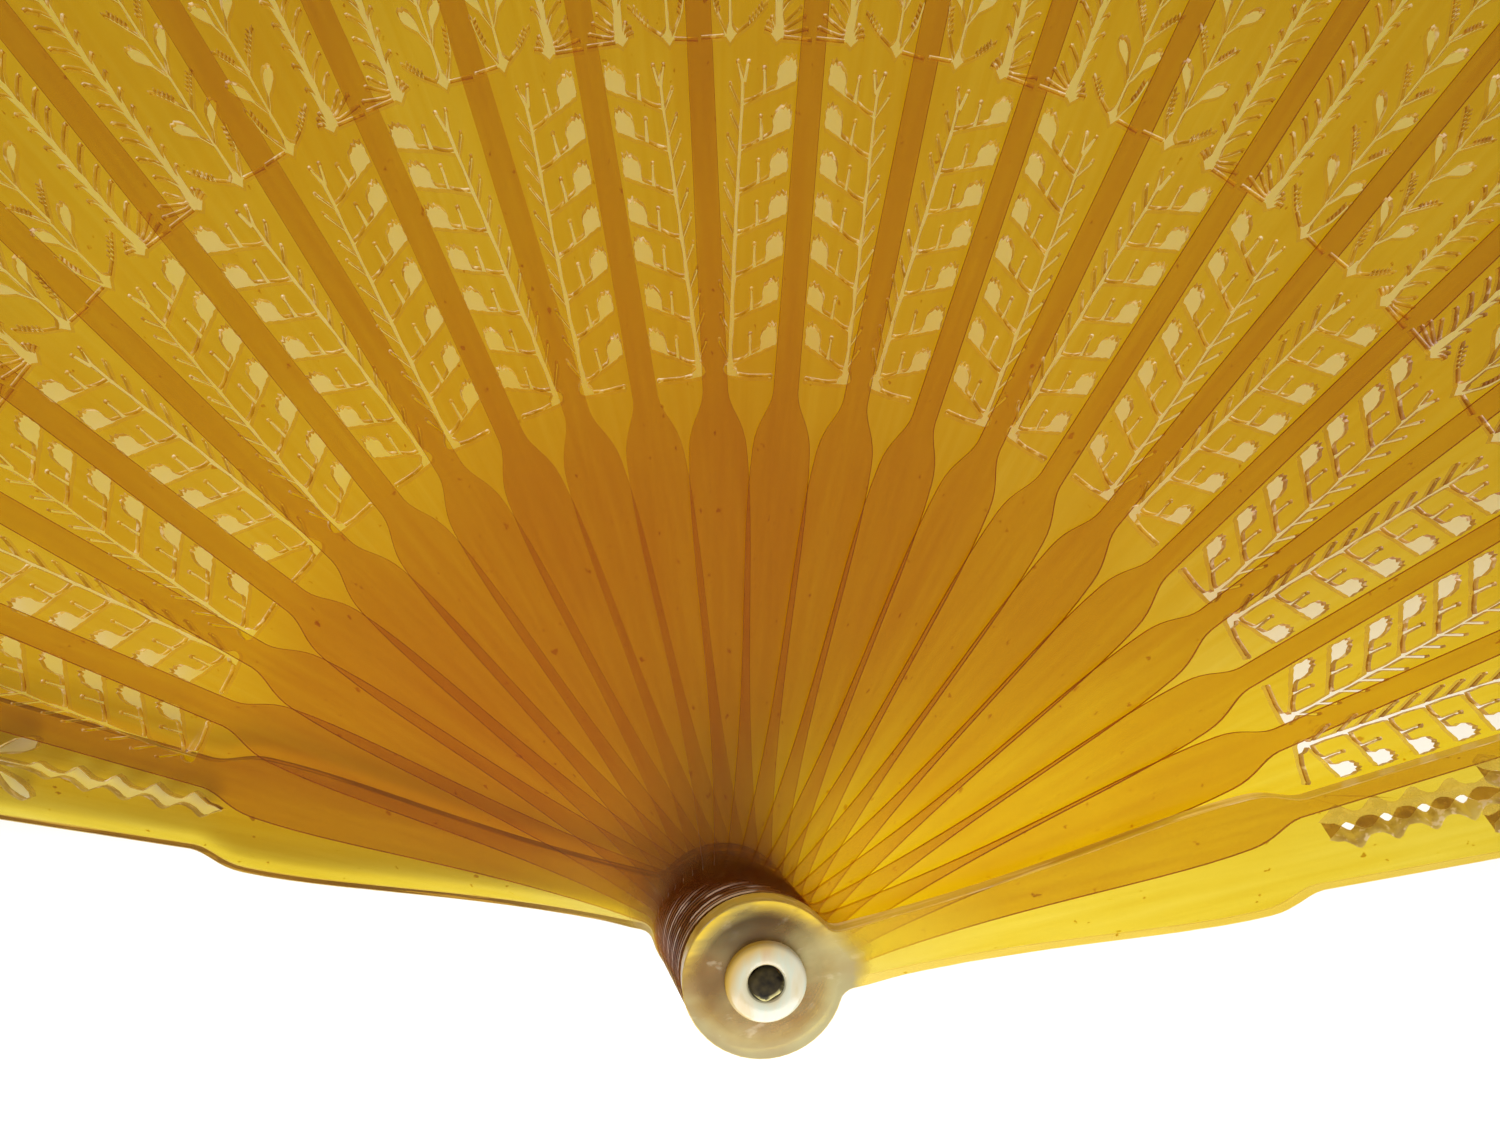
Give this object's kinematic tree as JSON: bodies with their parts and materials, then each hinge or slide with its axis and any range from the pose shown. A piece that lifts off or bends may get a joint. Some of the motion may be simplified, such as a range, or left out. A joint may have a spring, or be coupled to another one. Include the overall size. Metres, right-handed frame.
{
  "type": "horn brise fan",
  "caption": "Folding fan of pierced translucent horn sticks on a rivet with pearl washers, held open by a silk ribbon threaded near the tips.",
  "frame": {"origin": "on the rivet's axis, at its rear end, which is flush with the rear washer's outer face, the lowest face of the lying fan", "axes": "+Z along the rivet towards the front guard, +Y along the middle of the open fan, from the rivet to the tips, +X to the right, where the front guard lies"},
  "size_m": [0.2984, 0.159, 0.0213],
  "materials": {
    "stick_horn": "translucent amber horn, satin polish",
    "guard_horn": "translucent yellow horn, satin polish",
    "pearl": "mother-of-pearl",
    "pin_metal": "darkened brass, spread ends",
    "ribbon_silk": "cream silk ribbon"
  },
  "bodies": {
    "rear_guard": {"rear_guard": "guard_horn", "rear_washer": "pearl", "pivot_pin": "pin_metal", "front_washer": "pearl"},
    "stick_01": {"stick_01": "stick_horn", "ribbon_01": "ribbon_silk"},
    "stick_02": {"stick_02": "stick_horn", "ribbon_02": "ribbon_silk"},
    "stick_03": {"stick_03": "stick_horn", "ribbon_03": "ribbon_silk"},
    "stick_04": {"stick_04": "stick_horn", "ribbon_04": "ribbon_silk"},
    "stick_05": {"stick_05": "stick_horn", "ribbon_05": "ribbon_silk"},
    "stick_06": {"stick_06": "stick_horn", "ribbon_06": "ribbon_silk"},
    "stick_07": {"stick_07": "stick_horn", "ribbon_07": "ribbon_silk"},
    "stick_08": {"stick_08": "stick_horn", "ribbon_08": "ribbon_silk"},
    "stick_09": {"stick_09": "stick_horn", "ribbon_09": "ribbon_silk"},
    "stick_10": {"stick_10": "stick_horn", "ribbon_10": "ribbon_silk"},
    "stick_11": {"stick_11": "stick_horn", "ribbon_11": "ribbon_silk"},
    "stick_12": {"stick_12": "stick_horn", "ribbon_12": "ribbon_silk"},
    "stick_13": {"stick_13": "stick_horn", "ribbon_13": "ribbon_silk"},
    "stick_14": {"stick_14": "stick_horn", "ribbon_14": "ribbon_silk"},
    "stick_15": {"stick_15": "stick_horn", "ribbon_15": "ribbon_silk"},
    "stick_16": {"stick_16": "stick_horn", "ribbon_16": "ribbon_silk"},
    "stick_17": {"stick_17": "stick_horn", "ribbon_17": "ribbon_silk"},
    "stick_18": {"stick_18": "stick_horn", "ribbon_18": "ribbon_silk"},
    "stick_19": {"stick_19": "stick_horn", "ribbon_19": "ribbon_silk"},
    "stick_20": {"stick_20": "stick_horn", "ribbon_20": "ribbon_silk"},
    "stick_21": {"stick_21": "stick_horn", "ribbon_21": "ribbon_silk"},
    "front_guard": {"front_guard": "guard_horn", "ribbon_22": "ribbon_silk"}
  },
  "joints": [
    {"name": "front_guard_spread", "type": "hinge", "parent": "rear_guard", "child": "front_guard", "pos_m": [0.00225, 0, 0.01804], "axis": [0, 0, 1], "range_deg": [0, 154], "deforming": ["ribbon_22"]},
    {"name": "stick_21_spread", "type": "hinge", "parent": "rear_guard", "child": "stick_21", "pos_m": [0.00206, 0, 0.01734], "axis": [0, 0, 1], "range_deg": [0, 147], "deforming": ["ribbon_21"]},
    {"name": "stick_20_spread", "type": "hinge", "parent": "rear_guard", "child": "stick_20", "pos_m": [0.00197, 0, 0.01664], "axis": [0, 0, 1], "range_deg": [0, 140], "deforming": ["ribbon_20"]},
    {"name": "stick_19_spread", "type": "hinge", "parent": "rear_guard", "child": "stick_19", "pos_m": [0.00189, 0, 0.01594], "axis": [0, 0, 1], "range_deg": [0, 133], "deforming": ["ribbon_19"]},
    {"name": "stick_18_spread", "type": "hinge", "parent": "rear_guard", "child": "stick_18", "pos_m": [0.0018, 0, 0.01524], "axis": [0, 0, 1], "range_deg": [0, 126], "deforming": ["ribbon_18"]},
    {"name": "stick_17_spread", "type": "hinge", "parent": "rear_guard", "child": "stick_17", "pos_m": [0.00171, 0, 0.01454], "axis": [0, 0, 1], "range_deg": [0, 119], "deforming": ["ribbon_17"]},
    {"name": "stick_16_spread", "type": "hinge", "parent": "rear_guard", "child": "stick_16", "pos_m": [0.00163, 0, 0.01384], "axis": [0, 0, 1], "range_deg": [0, 112], "deforming": ["ribbon_16"]},
    {"name": "stick_15_spread", "type": "hinge", "parent": "rear_guard", "child": "stick_15", "pos_m": [0.00154, 0, 0.01314], "axis": [0, 0, 1], "range_deg": [0, 105], "deforming": ["ribbon_15"]},
    {"name": "stick_14_spread", "type": "hinge", "parent": "rear_guard", "child": "stick_14", "pos_m": [0.00146, 0, 0.01244], "axis": [0, 0, 1], "range_deg": [0, 98], "deforming": ["ribbon_14"]},
    {"name": "stick_13_spread", "type": "hinge", "parent": "rear_guard", "child": "stick_13", "pos_m": [0.00137, 0, 0.01174], "axis": [0, 0, 1], "range_deg": [0, 91], "deforming": ["ribbon_13"]},
    {"name": "stick_12_spread", "type": "hinge", "parent": "rear_guard", "child": "stick_12", "pos_m": [0.00129, 0, 0.01104], "axis": [0, 0, 1], "range_deg": [0, 84], "deforming": ["ribbon_12"]},
    {"name": "stick_11_spread", "type": "hinge", "parent": "rear_guard", "child": "stick_11", "pos_m": [0.0012, 0, 0.01034], "axis": [0, 0, 1], "range_deg": [0, 77], "deforming": ["ribbon_11"]},
    {"name": "stick_10_spread", "type": "hinge", "parent": "rear_guard", "child": "stick_10", "pos_m": [0.00111, 0, 0.00964], "axis": [0, 0, 1], "range_deg": [0, 70], "deforming": ["ribbon_10"]},
    {"name": "stick_09_spread", "type": "hinge", "parent": "rear_guard", "child": "stick_09", "pos_m": [0.00103, 0, 0.00894], "axis": [0, 0, 1], "range_deg": [0, 63], "deforming": ["ribbon_09"]},
    {"name": "stick_08_spread", "type": "hinge", "parent": "rear_guard", "child": "stick_08", "pos_m": [0.00094, 0, 0.00824], "axis": [0, 0, 1], "range_deg": [0, 56], "deforming": ["ribbon_08"]},
    {"name": "stick_07_spread", "type": "hinge", "parent": "rear_guard", "child": "stick_07", "pos_m": [0.00086, 0, 0.00754], "axis": [0, 0, 1], "range_deg": [0, 49], "deforming": ["ribbon_07"]},
    {"name": "stick_06_spread", "type": "hinge", "parent": "rear_guard", "child": "stick_06", "pos_m": [0.00077, 0, 0.00684], "axis": [0, 0, 1], "range_deg": [0, 42], "deforming": ["ribbon_06"]},
    {"name": "stick_05_spread", "type": "hinge", "parent": "rear_guard", "child": "stick_05", "pos_m": [0.00068, 0, 0.00614], "axis": [0, 0, 1], "range_deg": [0, 35], "deforming": ["ribbon_05"]},
    {"name": "stick_04_spread", "type": "hinge", "parent": "rear_guard", "child": "stick_04", "pos_m": [0.0006, 0, 0.00544], "axis": [0, 0, 1], "range_deg": [0, 28], "deforming": ["ribbon_04"]},
    {"name": "stick_03_spread", "type": "hinge", "parent": "rear_guard", "child": "stick_03", "pos_m": [0.00051, 0, 0.00474], "axis": [0, 0, 1], "range_deg": [0, 21], "deforming": ["ribbon_03"]},
    {"name": "stick_02_spread", "type": "hinge", "parent": "rear_guard", "child": "stick_02", "pos_m": [0.00043, 0, 0.00404], "axis": [0, 0, 1], "range_deg": [0, 14], "deforming": ["ribbon_02"]},
    {"name": "stick_01_spread", "type": "hinge", "parent": "rear_guard", "child": "stick_01", "pos_m": [0.00034, 0, 0.00334], "axis": [0, 0, 1], "range_deg": [0, 7], "deforming": ["ribbon_01"]}
  ],
  "couplings": [
    {"joint": "stick_21_spread", "follows": "front_guard_spread", "ratio": 0.95455},
    {"joint": "stick_20_spread", "follows": "front_guard_spread", "ratio": 0.90909},
    {"joint": "stick_19_spread", "follows": "front_guard_spread", "ratio": 0.86364},
    {"joint": "stick_18_spread", "follows": "front_guard_spread", "ratio": 0.81818},
    {"joint": "stick_17_spread", "follows": "front_guard_spread", "ratio": 0.77273},
    {"joint": "stick_16_spread", "follows": "front_guard_spread", "ratio": 0.72727},
    {"joint": "stick_15_spread", "follows": "front_guard_spread", "ratio": 0.68182},
    {"joint": "stick_14_spread", "follows": "front_guard_spread", "ratio": 0.63636},
    {"joint": "stick_13_spread", "follows": "front_guard_spread", "ratio": 0.59091},
    {"joint": "stick_12_spread", "follows": "front_guard_spread", "ratio": 0.54545},
    {"joint": "stick_11_spread", "follows": "front_guard_spread", "ratio": 0.5},
    {"joint": "stick_10_spread", "follows": "front_guard_spread", "ratio": 0.45455},
    {"joint": "stick_09_spread", "follows": "front_guard_spread", "ratio": 0.40909},
    {"joint": "stick_08_spread", "follows": "front_guard_spread", "ratio": 0.36364},
    {"joint": "stick_07_spread", "follows": "front_guard_spread", "ratio": 0.31818},
    {"joint": "stick_06_spread", "follows": "front_guard_spread", "ratio": 0.27273},
    {"joint": "stick_05_spread", "follows": "front_guard_spread", "ratio": 0.22727},
    {"joint": "stick_04_spread", "follows": "front_guard_spread", "ratio": 0.18182},
    {"joint": "stick_03_spread", "follows": "front_guard_spread", "ratio": 0.13636},
    {"joint": "stick_02_spread", "follows": "front_guard_spread", "ratio": 0.090909},
    {"joint": "stick_01_spread", "follows": "front_guard_spread", "ratio": 0.045455}
  ]
}
